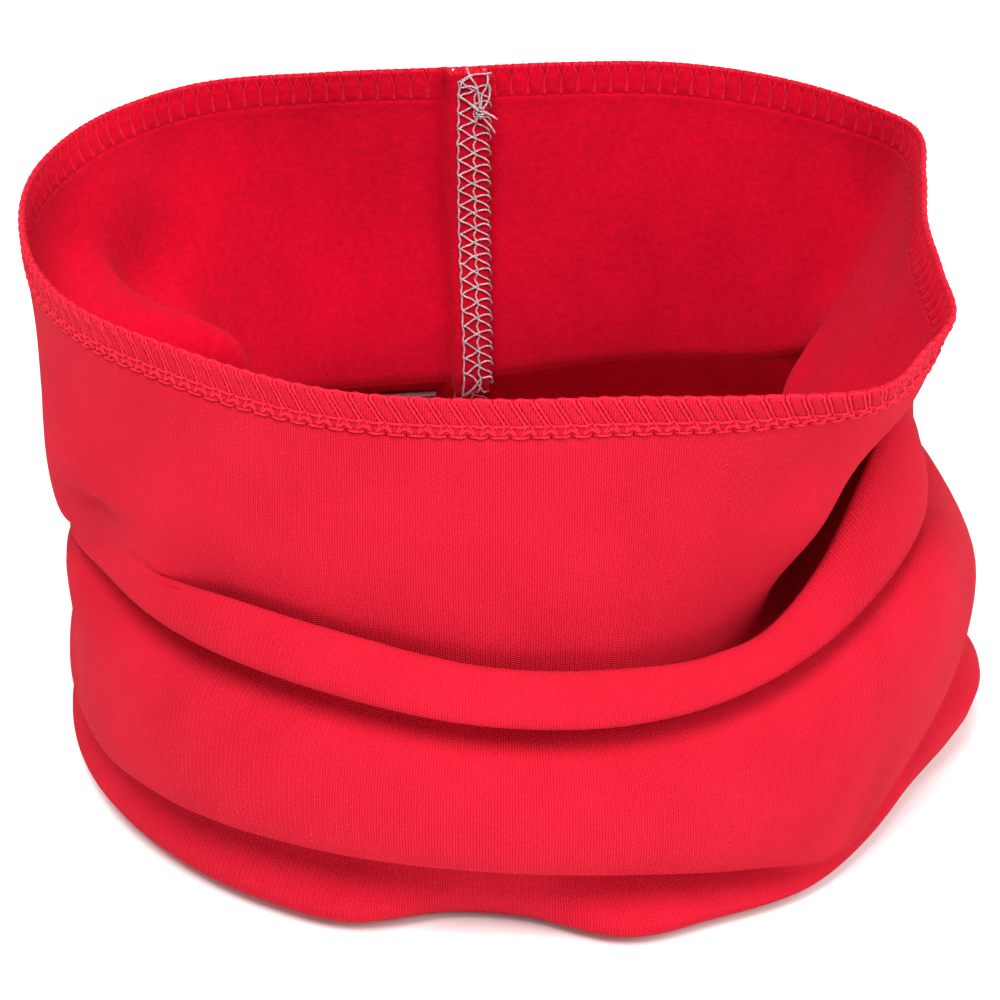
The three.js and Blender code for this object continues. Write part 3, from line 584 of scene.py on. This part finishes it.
class Finish:
    def __init__(self, name):
        self.material = bpy.data.materials.new(name)
        self.material.use_nodes = True
        self.tree = self.material.node_tree
        self.tree.nodes.clear()

    def node(self, kind, settings=None, inputs=None, output=0):
        made = self.tree.nodes.new(kind)
        for key, value in (settings or {}).items():
            if key == "stops":
                points = made.color_ramp.elements
                while len(points) < len(value):
                    points.new(0.5)
                for point, (position, color) in zip(points, value):
                    point.position, point.color = position, (*color, 1)
            else:
                setattr(made, key, value)
        for key, value in (inputs or {}).items():
            if isinstance(value, Wire):
                self.tree.links.new(value.socket, made.inputs[key])
            else:
                made.inputs[key].default_value = value
        return Wire(self, made.outputs[output]) if made.outputs else made

    def strip(self, mapName):
        # the two coordinates of a map, in metres on cloth
        place = self.node("ShaderNodeUVMap", {"uv_map": mapName})
        split = self.node("ShaderNodeSeparateXYZ", None, {0: place})
        return place, split, Wire(self, split.socket.node.outputs[1])

    def noise(self, place, scale, detail=2, roughness=0.5, stretch=(1, 1, 1)):
        spot = self.node("ShaderNodeMapping", None, {0: place, 3: stretch})
        return self.node("ShaderNodeTexNoise", None,
                         {"Vector": spot, "Scale": scale, "Detail": detail,
                          "Roughness": roughness})

    def blend(self, factor, low, high):
        pair = [(*c, 1) if isinstance(c, tuple) else c for c in (low, high)]
        return self.node("ShaderNodeMix", {"data_type": "RGBA"},
                         {0: factor, 6: pair[0], 7: pair[1]}, 2)

    def shade(self, color, roughness, height, depth, **plain):
        # the surface, with its relief in metres
        relief = self.node("ShaderNodeBump", None, {"Height": height, "Distance": depth,
                                                    "Strength": 1.0})
        inputs = {"Base Color": color, "Roughness": roughness, "Normal": relief}
        for key, value in plain.items():
            label = {"sheen": "Sheen Weight", "sheenTint": "Sheen Tint",
                     "sheenRoughness": "Sheen Roughness", "gloss": "Specular IOR Level"}[key]
            inputs[label] = value
        surface = self.node("ShaderNodeBsdfPrincipled", None, inputs)
        self.node("ShaderNodeOutputMaterial", None, {0: surface})
        return self.material


jersey = {
    # the colour runs from shade to color: random fibre and cloud tone, with painted shade in the
    # knit's valleys and in the edge stitches' holes, grooves and slits
    "color": (0.74, 0.0150, 0.041), "shade": (0.33, 0.000, 0.006),
    "wale": 0.83, "course": 0.42,      # mm between columns and rows of the knit
    "relief": 0.2, "roughness": 0.85, "holeShade": 0.55, "grooveShade": 0.28,
    "knitValleyShade": 0.85, "fibreTone": 0.5, "cloudTone": 0.4, "toneDrop": 0.17,
    "stitchShadeTone": 1.6, "marksDeep": 2.5, "fibreRelief": 0.35,
}


def stitchDentsAndShade(f, inside):
    # painted shade: darker where the edge stitches pierce the fabric or draw it into a groove; the
    # finishes also dent the relief with it
    _, s, d = f.strip("edge")
    s, d = s * (1 / mm), d * (1 / mm)
    one, two = cloth["needleOne"], cloth["needleTwo"]

    def spot(x, width):
        return ((x * (1 / width)) ** 2 * -1).math("EXPONENT")

    straight = s % pitch - pitch / 2
    if inside:
        depthwise = spot(d - 3.4, 2.0)
        groove = spot(straight, 0.22) * depthwise
        return groove * jersey["grooveShade"] * 1.6 + spot(d - 5.55, 0.2) * 0.12
    lean = (s + (d - one) * cloth["slant"]) % pitch - pitch / 2
    band = d.math("LESS_THAN", one - 0.2)
    groove = (spot(lean + 0.32, 0.13) + spot(lean - 0.4, 0.15) + spot(lean - 1.1, 0.12)) * band
    hole = spot(straight + 0.1, 0.24) * (spot(d - one, 0.22) + spot(d - two, 0.24))
    lower = spot(d - two - 0.34, 0.16)
    zigzag = spot(straight.math("ABSOLUTE") - (d - one) * 0.62 - 0.25, 0.14) * spot(d - 4.85, 0.6)
    return groove * jersey["grooveShade"] + hole * jersey["holeShade"] + (zigzag + lower) * 0.2


def jerseyFinish():
    f = Finish("redJersey")
    place, across, down = f.strip("knit")
    wale = across * (1 / (jersey["wale"] * mm))
    column = wale.math("FLOOR")
    side = (wale - column - 0.5).math("ABSOLUTE")
    course = down * (1 / (jersey["course"] * mm)) + (column % 2) * 0.5
    leg = ((course + side * 1.1) * (2 * math.pi)).math("SINE") * 0.5 + 0.5
    rib = ((side * (4 * math.pi)).math("COSINE") * -0.5 + 0.5) ** 0.6
    stitch = rib * 0.25 + rib * leg * 0.75
    fibre = f.noise(place, 4200, 1)
    cloud = f.noise(place, 60, 3)
    # painted shade: the colour follows the knit's stitches, darker in the valleys between them;
    # fibre and cloud add random tone
    tone = stitch * jersey["knitValleyShade"] + fibre * jersey["fibreTone"]
    tone = tone + cloud * jersey["cloudTone"] - jersey["toneDrop"]
    # painted shade in the holes and grooves of the edge stitches
    marks = stitchDentsAndShade(f, False)
    tone = (tone - marks * jersey["stitchShadeTone"]).math("MINIMUM", 1).math("MAXIMUM", 0)
    color = f.blend(tone, jersey["shade"], jersey["color"])
    height = stitch + fibre * jersey["fibreRelief"] - marks * jersey["marksDeep"]
    return f.shade(color, jersey["roughness"], height, jersey["relief"] * mm,
                   sheen=0.03, sheenRoughness=0.4, sheenTint=(1, 0.2, 0.25, 1), gloss=0.06)


fleece = {
    # the inside face: the jersey's red made darker and deeper, as painted shade and red bounce
    # light inside the tube
    "color": (0.56, 0.0006, 0.018), "shade": (0.25, 0.000, 0.004),
    "fuzz": 0.2, "roughness": 0.95, "fuzzTone": 0.6, "tuftTone": 0.9, "cloudTone": 0.5,
    "toneDrop": 0.38, "fuzzRelief": 0.5, "marksDeep": 2,
}


def fleeceFinish():
    f = Finish("redFleece")
    place, _, _ = f.strip("knit")
    fuzz = f.noise(place, 3000, 2, 0.7)
    tuft = f.noise(place, 700, 3, 0.65)
    cloud = f.noise(place, 110, 3, 0.6, (1, 0.7, 1))
    tone = fuzz * fleece["fuzzTone"] + tuft * fleece["tuftTone"]
    tone = tone + cloud * fleece["cloudTone"] - fleece["toneDrop"]
    # painted shade in the slits and grooves of the edge stitches
    marks = stitchDentsAndShade(f, True)
    tone = (tone - marks).math("MINIMUM", 1).math("MAXIMUM", 0)
    color = f.blend(tone, fleece["shade"], fleece["color"])
    height = fuzz * fleece["fuzzRelief"] + tuft - marks * fleece["marksDeep"]
    return f.shade(color, fleece["roughness"], height, fleece["fuzz"] * mm,
                   sheen=0.08, sheenRoughness=0.6, sheenTint=(1, 0.12, 0.2, 1), gloss=0.06)


def threadFinish(name, light, dark, twist, tint):
    # spun thread; its map runs along the thread in metres and once round it
    f = Finish(name)
    place, along, turn = f.strip("thread")
    ply = ((along * (1 / twist) + turn * 2) * (2 * math.pi)).math("SINE") * 0.5 + 0.5
    patch = f.noise(place, 700, 2, 0.6, (1, 0.0004, 1))
    tone = (ply * 0.35 + patch * 2.2 - 0.6).math("MINIMUM", 1).math("MAXIMUM", 0)
    color = f.blend(tone, dark, light)
    return f.shade(color, 0.8, ply, 0.04 * mm, sheen=0.1, sheenRoughness=0.5, sheenTint=tint,
                   gloss=0.1)


# Threads
thread = {
    "red": 0.21, "redNeedle": 0.2, "grey": 0.17,      # radii, mm
    "sides": 6, "step": 0.45,
    "outsideEnds": 1,                       # how near the seam the edge threads come
    "insideStart": 7.2, "insideStop": 3,    # and inside, past the seam allowance
}


def smoothPath(points, ups, step):
    # a curve through the points, cut into steps of about the given length
    points, ups = np.asarray(points, float), np.asarray(ups, float)
    ends = np.concatenate([[2 * points[0] - points[1]], points, [2 * points[-1] - points[-2]]])
    size = np.linalg.norm(np.diff(points, axis=0), axis=1)
    out, lift = [], []
    for i in range(len(points) - 1):
        p0, p1, p2, p3 = ends[i:i + 4]
        count = max(1, int(round(size[i] / step)))
        t = (np.arange(count) / count)[:, None]
        out.append(0.5 * (2 * p1 + (p2 - p0) * t + (2 * p0 - 5 * p1 + 4 * p2 - p3) * t ** 2
                          + (3 * p1 - p0 - 3 * p2 + p3) * t ** 3))
        lift.append(ups[i] * (1 - t) + ups[i + 1] * t)
    out.append(points[-1:])
    lift.append(ups[-1:])
    return np.concatenate(out), np.concatenate(lift)


def threadMesh(name, strands, radius, taper=0.0):
    # strands are (points, ups) in mm; every strand is a closed tube
    sides = thread["sides"]
    vertices, faces, corners = [], [], []
    base = 0
    for points, ups in strands:
        points = points.copy()
        points[:, 2] = np.maximum(points[:, 2], radius + 0.02)
        tangent = np.gradient(points, axis=0)
        tangent /= np.linalg.norm(tangent, axis=1)[:, None] + 1e-9
        beside = np.cross(tangent, ups)
        beside /= np.linalg.norm(beside, axis=1)[:, None] + 1e-9
        over = np.cross(beside, tangent)
        along = lengthsAlong(points)
        size = np.full(len(points), float(radius))
        if taper:
            size *= np.clip(np.minimum(along, along[-1] - along) / taper + 0.35, 0.35, 1)
        turn = np.arange(sides) * 2 * math.pi / sides
        ring = (points[:, None] + size[:, None, None] * (
            np.cos(turn)[None, :, None] * beside[:, None]
            + np.sin(turn)[None, :, None] * over[:, None]))
        vertices.append(ring.reshape(-1, 3))
        count = len(points)
        for i in range(count - 1):
            for j in range(sides):
                n = (j + 1) % sides
                faces.append([base + i * sides + j, base + i * sides + n,
                              base + (i + 1) * sides + n, base + (i + 1) * sides + j])
                a, b = j / sides, (j + 1) / sides
                corners += [(along[i], a), (along[i], b), (along[i + 1], b), (along[i + 1], a)]
        faces.append([base + j for j in range(sides - 1, -1, -1)])
        corners += [(along[0], j / sides) for j in range(sides - 1, -1, -1)]
        last = base + (count - 1) * sides
        faces.append([last + j for j in range(sides)])
        corners += [(along[-1], j / sides) for j in range(sides)]
        base += count * sides
    corners = np.array(corners)
    corners[:, 0] *= mm
    return meshPiece(name, np.concatenate(vertices), faces, {"thread": corners})


def onEdge(s, d, lift, inside, bottom):
    # a point lifted off the fabric at an edge; below 0, d runs over the edge
    s, d, lift = (np.asarray(v, float) for v in (s, d, lift))
    flat = np.maximum(d, 0)
    puckerAt = innerPucker if inside else outerPucker
    swell = puckerAt(s, flat) * np.where(np.mod(s + 1, around) < 4, 0, 1)
    row = tube.edgeRow(flat, bottom)
    depth = thick + swell + lift if inside else -(swell + lift)
    point, inward = tube.place(s, row, depth)
    ahead, _ = tube.place(s, tube.edgeRow(flat * 0 + 0.9, bottom), flat * 0)
    start, _ = tube.place(s, tube.edgeRow(flat * 0, bottom), flat * 0)
    beyond = start - ahead
    beyond /= np.linalg.norm(beyond, axis=-1)[..., None]
    away = inward if inside else -inward
    turn = np.clip(-d / (thick / 2), 0, None)
    radius = thick / 2 + lift
    middle, _ = tube.place(s, row, flat * 0 + thick / 2)
    over = middle + radius[..., None] * (away * np.cos(turn)[..., None]
                                         + beyond * np.sin(turn)[..., None])
    isOver = (d < 0)[..., None]
    up = np.where(isOver, over - middle, away)
    return np.where(isOver, over, point), up / np.linalg.norm(up, axis=-1)[..., None]


def edgeStrand(perStitchPath, inside, bottom, low, high, step):
    # repeats one stitch's [s, inset, lift] points along the edge, between two distances
    path = []
    for k in range(cloth["stitches"]):
        centre = (k + 0.5) * pitch
        if low < centre < high:
            path += [[centre + x, d, lift] for x, d, lift in perStitchPath(k)]
    path = np.array(path)
    points, ups = onEdge(path[:, 0], path[:, 1], path[:, 2], inside, bottom)
    return smoothPath(points, ups, step)


wobble = np.random.default_rng(7).normal(0, 1, (cloth["stitches"], 6))


def needleStitch(inset):
    def path(k):
        w = wobble[k] * 0.05
        return [[0.05, inset, -0.5], [0.32, inset + w[0], -0.02], [0.75, inset + w[1], 0.13],
                [1.6, inset + w[2], 0.17], [2.45, inset + w[3], 0.13], [2.88, inset, -0.02]]
    return path


def upperLooper(k):
    one, two, lean = cloth["needleOne"], cloth["needleTwo"], cloth["slant"]
    w = wobble[k] * 0.08
    leg = [3.7, 2.8, 1.9, 1.0, 0.2]
    out = [[lean * (one + 0.4), -0.6, -0.12]]
    out += [[lean * (one - d) + w[i % 3] * 0.5, d, 0.03] for i, d in enumerate(leg[::-1])]
    out += [[-0.35 + w[3], one + 0.45, 0.0], [-0.95 + w[4], two - 0.35, 0.02],
            [-0.1, one + 0.75, 0.06], [0.5 + w[5], one + 0.75, 0.06], [1.35, two - 0.35, 0.02],
            [1.0, one + 0.5, 0.0]]
    out += [[0.8 + lean * (one - d) + w[(i + 1) % 3] * 0.5, d, 0.03] for i, d in enumerate(leg)]
    return out + [[0.8 + lean * (one + 0.4), -0.6, -0.12], [2.1 + lean * (one + 0.4), -0.8, -0.2]]


def lowerLooper(k):
    w = wobble[k] * 0.09
    return [[-1.05, -0.6, -0.12], [-0.75 + w[0], 0.5, -0.02], [-0.35, 1.5, 0.05],
            [-0.12, 2.4, 0.03], [-0.12 + w[1], 3.9, 0.02], [-0.1, 5.2, 0.05], [0.0, 5.5, 0.08],
            [0.1, 5.2, 0.05], [0.12 + w[2], 3.9, 0.02], [0.12, 2.4, 0.03], [0.35, 1.5, 0.05],
            [0.75 + w[3], 0.5, -0.02], [1.05, -0.6, -0.12]]


def dress(piece, node, slotName, *finishes):
    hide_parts(node)
    for finish in finishes:
        piece.data.materials.append(finish)
    return piece


redJersey, redFleece = jerseyFinish(), fleeceFinish()
redThread = threadFinish("redThread", (0.72, 0.017, 0.041), (0.52, 0.005, 0.015), 0.55 * mm,
                         (1, 0.2, 0.25, 1))
# the thread inside the tube: the same red thread made darker and deeper, as painted shade and red
# bounce light
shadedInsideThread = threadFinish("redThreadInsideShaded", (0.60, 0.004, 0.024), (0.34, 0.001, 0.008),
                            0.55 * mm, (1, 0.2, 0.25, 1))
greyThread = threadFinish("greyThread", (0.60, 0.44, 0.47), (0.10, 0.05, 0.06), 0.6 * mm,
                          (1, 1, 1, 1))

panel = dress(panelMesh(), "body_panel", "red_knit", redJersey, redFleece)
print("panel", len(panel.data.polygons), "faces")
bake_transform(panel)

for edge, bottom in (("top", False), ("bottom", True)):
    made = {
        "needle_thread_one": (needleStitch(cloth["needleOne"]), False, thread["redNeedle"]),
        "needle_thread_two": (needleStitch(cloth["needleTwo"]), False, thread["redNeedle"]),
        "upper_looper_thread": (upperLooper, False, thread["red"]),
        "lower_looper_thread": (lowerLooper, True, thread["red"]),
    }
    for part, (path, inside, radius) in made.items():
        low, high = thread["outsideEnds"], around - thread["outsideEnds"]
        if inside:
            low, high = thread["insideStart"], around - thread["insideStop"]
        strand = edgeStrand(path, inside, bottom, low, high, thread["step"])
        words = part.split("_")
        name = edge + "".join(word.title() for word in words)
        piece = dress(threadMesh(name, [strand], radius), f"{edge}_{part}", "red_thread",
                      shadedInsideThread if inside else redThread)
        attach(piece, "tube" if bottom else "top_edge")
print("edges sewn")


# Back seam
seam = {"left": 0.7, "middle": 3.9, "mapAt": 2.5}     # mm right of the seam


def onSeam(points):
    # [mm right of the seam, mm down from the top edge, lift off the layers]
    path = np.array(points, float)
    row = tube.rowAt(seam["mapAt"], path[:, 1])
    return tube.place(path[:, 0], row, stackDepth + path[:, 2])


def seamStrand(perStitchPath, step=0.4):
    length = tube.down[-1, 6]
    count = int((length - 3) / cloth["seamPitch"])
    path = []
    for k in range(count):
        y = 1.2 + k * cloth["seamPitch"]
        path += [[r, y + dy, lift] for r, dy, lift in perStitchPath(k)]
    points, ups = onSeam(path)
    return smoothPath(points, ups, step)


shake = np.random.default_rng(11).normal(0, 1, (80, 6))
run = cloth["seamPitch"]


def seamNeedleOne(k):
    w = shake[k] * 0.08
    return [[seam["left"] + w[0], 0, 0.16], [seam["left"] + 0.12, 0.25 * run, 0.06],
            [seam["left"] + 0.2 + w[1], 0.55 * run, 0.12], [seam["left"] - 0.05, 0.85 * run, 0.2]]


def seamNeedleTwo(k):
    w = shake[k] * 0.1
    return [[seam["middle"] - 0.25 + w[2], 0.1 * run, 0.14],
            [seam["middle"] + 0.1 + w[3], 0.45 * run, 0.3],
            [seam["middle"] + 0.2, 0.75 * run, 0.14]]


def seamUpper(k):
    # from each left knot down across to the raw edge, and back under the layers
    w = shake[k] * 0.13
    return [[seam["left"] + 0.1, 0, 0.3], [1.5, 0.12 * run + w[0], 0.26],
            [2.8, 0.42 * run + w[1], 0.2], [seam["middle"] + 0.1, 0.68 * run, 0.3],
            [5.3, 0.9 * run + w[2], 0.26], [6.3, 1.12 * run, 0.1], [6.6, 1.32 * run, -0.3],
            [6.1, 1.5 * run, -0.75], [3.5, 1.4 * run, -0.9], [1.2, 1.08 * run, -0.6]]


def seamLower(k):
    # from each left knot up across to the raw edge, then round it
    w = shake[k] * 0.13
    return [[seam["left"] + 0.12, 0.04 * run, 0.2], [1.6, -0.08 * run + w[3], 0.2],
            [2.9, -0.32 * run + w[4], 0.32], [seam["middle"] + 0.3, -0.52 * run, 0.2],
            [5.4, -0.66 * run + w[5], 0.34], [6.4, -0.6 * run, 0.2], [6.85, -0.36 * run, -0.4],
            [6.9, -0.1 * run, -1.3], [6.0, 0.1 * run, -1.9], [3.0, 0.5 * run, -1.7],
            [1.0, 0.9 * run, -0.8]]


for part, path in (("needle_thread_one", seamNeedleOne), ("needle_thread_two", seamNeedleTwo),
                   ("upper_looper_thread", seamUpper), ("lower_looper_thread", seamLower)):
    name = "seam" + "".join(word.title() for word in part.split("_"))
    piece = dress(threadMesh(name, [seamStrand(path)], thread["grey"]), f"seam_{part}",
                  "grey_thread", greyThread)
    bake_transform(piece)


knot = {"at": (4.8, 7.5, 0.85), "turns": 4.3, "radius": 0.75, "halfLength": 0.95, "points": 70}


def seamTail():
    # the knot near the top of the seam, the strands that come to it, and two cut ends
    strands = []
    for path in (
        [[2.4, -1.0, -0.9], [2.9, 0.4, 0.35], [3.9, 2.0, 0.5], [4.5, 4.2, 0.6], [4.8, 7.2, 0.8]],
        [[5.6, -0.7, -0.7], [6.2, 0.8, 0.3], [5.9, 2.6, 0.6], [5.1, 4.0, 0.6], [4.9, 6.6, 0.9]],
        [[1.0, 2.4, 0.3], [0.9, 3.9, 0.4], [2.4, 5.2, 0.5], [4.2, 6.9, 0.8]],
        [[3.4, 0.2, 0.2], [1.6, 1.2, 0.3], [1.2, 2.4, 0.3], [3.0, 2.2, 0.5], [4.4, 3.0, 0.7]],
        [[6.4, 2.0, 0.3], [6.6, 4.0, 0.4], [6.1, 5.6, 0.6], [5.0, 7.0, 0.9]],
        [[4.9, 7.3, 1.0], [6.0, 7.5, 1.3], [7.0, 7.9, 1.7], [7.9, 8.6, 1.9]],
        [[5.0, 8.0, 1.0], [6.0, 9.1, 1.2], [6.9, 10.2, 1.3], [7.6, 11.4, 1.1]],
        [[4.9, 7.6, 0.9], [4.2, 8.4, 1.0], [4.0, 9.4, 0.7]],
    ):
        points, ups = onSeam([[r, max(y, 0), lift] for r, y, lift in path])
        top = np.array([y for _, y, _ in path])
        atEdge, below = (tube.place(np.array([seam["mapAt"]]), np.array([row]),
                                    np.array([0.0]))[0][0] for row in (0.0, 2.0))
        rise = atEdge - below
        rise /= np.linalg.norm(rise)
        points = points + rise * np.maximum(-top, 0)[:, None]
        strands.append(smoothPath(points, ups, 0.35))
    centre, up = onSeam([knot["at"]])
    up = up[0]
    side = np.cross(up, (0, 0, 1.0))
    side /= np.linalg.norm(side)
    rise = np.cross(side, up)
    t = np.linspace(0, 1, knot["points"])
    turn = 2 * math.pi * knot["turns"] * t
    swing = knot["radius"] * np.sin(math.pi * np.clip(t, 0.06, 0.94)) ** 0.5
    ball = (centre[0] + (side * np.cos(turn)[:, None] + up * np.sin(turn)[:, None] * 0.7)
            * swing[:, None] + rise * (knot["halfLength"] * np.cos(math.pi * t)
                                       + 0.15 * np.sin(turn * 1.3))[:, None])
    strands.append((ball, np.tile(rise + side * 0.3, (knot["points"], 1))))
    return strands


tail = dress(threadMesh("seamThreadTail", seamTail(), thread["grey"] * 1.05), "seam_thread_tail",
             "grey_thread", greyThread)
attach(tail, "top_edge")
print("seam sewn")

# Care label
label = {
    "width": 20, "height": 18, "thickness": 0.3, "edge": -2.5, "drop": 3,
    # the satin's colours are made grey and mauve by painted shade and red bounce light inside the
    # tube; navy is the stripe
    "white": (0.62, 0.55, 0.58), "shade": (0.40, 0.33, 0.37), "navy": (0.02, 0.018, 0.05),
    "bandTop": 0.05, "bandHeight": 0.3,      # shares of the height
    "across": 22, "down": 20, "lift": 0.3, "wave": 0.25, "curl": 0.5, "hem": 0.28,
}


def labelMesh():
    across, down = label["across"], label["down"]
    fraction = np.linspace(0, 1, across + 1)
    s = label["edge"] - label["width"] * fraction
    topRing = list(folds).index("foldTwoTop")
    grids = []
    for level in (0, 1):
        grid = []
        for j in range(down + 1):
            v = j / down
            points = []
            for i, x in enumerate(s):
                column = int(round(x / around * tube.columns)) % tube.columns
                y = tube.ringDown[topRing, column] + label["drop"] + label["height"] * v
                row = np.interp(y, tube.down[:, column], np.arange(tube.rows))
                wave = label["wave"] * math.sin(5.2 * fraction[i] + 0.8) * v
                curl = label["curl"] * fraction[i] * v ** 2
                hem = label["hem"] * (bump(v - 0.04, 0.035) + bump(v - 0.96, 0.035))
                depth = thick + label["lift"] + wave + curl + (hem + label["thickness"]) * level
                point, _ = tube.place(np.array([x]), np.array([row]), np.array([depth]))
                points.append(point[0])
            grid.append(points)
        grids.append(grid)
    vertices = np.array(grids).reshape(-1, 3)
    size = (down + 1) * (across + 1)

    def at(level, j, i):
        return level * size + j * (across + 1) + i

    faces, corners = [], []

    def add(*marks):
        faces.append([at(*m) for m in marks])
        corners.extend([(m[2] / across, m[1] / down) for m in marks])

    for j in range(down):
        for i in range(across):
            add((0, j, i), (0, j + 1, i), (0, j + 1, i + 1), (0, j, i + 1))
            add((1, j, i), (1, j, i + 1), (1, j + 1, i + 1), (1, j + 1, i))
        add((0, j, 0), (1, j, 0), (1, j + 1, 0), (0, j + 1, 0))
        add((0, j, across), (0, j + 1, across), (1, j + 1, across), (1, j, across))
    for i in range(across):
        add((0, 0, i), (0, 0, i + 1), (1, 0, i + 1), (1, 0, i))
        add((0, down, i), (1, down, i), (1, down, i + 1), (0, down, i + 1))
    a, b, c = (vertices[[f[k] for f in faces]] for k in range(3))
    if (a * np.cross(b, c)).sum() < 0:
        faces = [f[::-1] for f in faces]
        corners = np.array(corners).reshape(-1, 4, 2)[:, ::-1].reshape(-1, 2)
    return meshPiece("careLabel", vertices, faces, {"satin": np.array(corners)})


def satinFinish():
    f = Finish("whiteSatin")
    place, across, down = f.strip("satin")
    weft = (down * (2 * math.pi * 60)).math("SINE") * 0.5 + 0.5
    warp = (across * (2 * math.pi * 90) + weft * 2).math("SINE") * 0.5 + 0.5
    cloud = f.noise(place, 6, 2)
    tone = weft * 0.25 + warp * 0.15 + cloud * 0.7
    # the satin's weave and cloud tone, over painted shade and red bounce light
    white = f.blend(tone.math("MINIMUM", 1), label["shade"], label["white"])
    low, high = label["bandTop"], label["bandTop"] + label["bandHeight"]
    band = down.math("GREATER_THAN", low) * down.math("LESS_THAN", high)
    color = f.blend(band, white, label["navy"])
    return f.shade(color, 0.35, weft * 0.7 + warp * 0.3, 0.04 * mm, gloss=0.5)


tag = dress(labelMesh(), "care_label", "white_satin", satinFinish())
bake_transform(tag)
print("label in")

# Floor and lights
studio = {
    "world": 0.72, "floor": (0.9, 0.9, 0.9), "floorSize": 6000, "floorDrop": 0.2,     # mm
    "aim": (0, 0, 0.05),
    "key": {"place": (-0.25, -0.75, 1.6), "size": 0.9, "power": 36},
    "fill": {"place": (0.9, -0.6, 0.9), "size": 0.9, "power": 12},
}


def floorPlane():
    size = studio["floorSize"]
    corners = [(-size, -size, 0), (size, -size, 0), (size, size, 0), (-size, size, 0)]
    ground = [[0, 0], [1, 0], [1, 1], [0, 1]]
    floor = meshPiece("floor", corners, [[0, 1, 2, 3]], {"ground": ground})
    floor.location.z = -studio["floorDrop"] * mm
    f = Finish("paleFloor")
    place, _, _ = f.strip("ground")
    grain = f.noise(place, 3000, 2)
    floor.data.materials.append(f.shade((*studio["floor"], 1), 0.6, grain, 0.0001, gloss=0.2))


def softBox(name, place, size, power):
    light = bpy.data.objects.new(name, bpy.data.lights.new(name, "AREA"))
    light.data.shape = "DISK"
    light.data.size = size
    light.data.energy = power
    light.location = place
    aim = np.array(studio["aim"]) - np.array(place)
    light.rotation_euler = (math.acos(-aim[2] / np.linalg.norm(aim)), 0,
                            math.atan2(aim[1], aim[0]) - math.pi / 2)
    bpy.context.scene.collection.objects.link(light)


floorPlane()
softBox("keyLight", **studio["key"])
softBox("fillLight", **studio["fill"])
world = bpy.data.worlds.new("studio")
world.use_nodes = True
world.node_tree.nodes["Background"].inputs[0].default_value = (1, 1, 1, 1)
world.node_tree.nodes["Background"].inputs[1].default_value = studio["world"]
bpy.context.scene.world = world
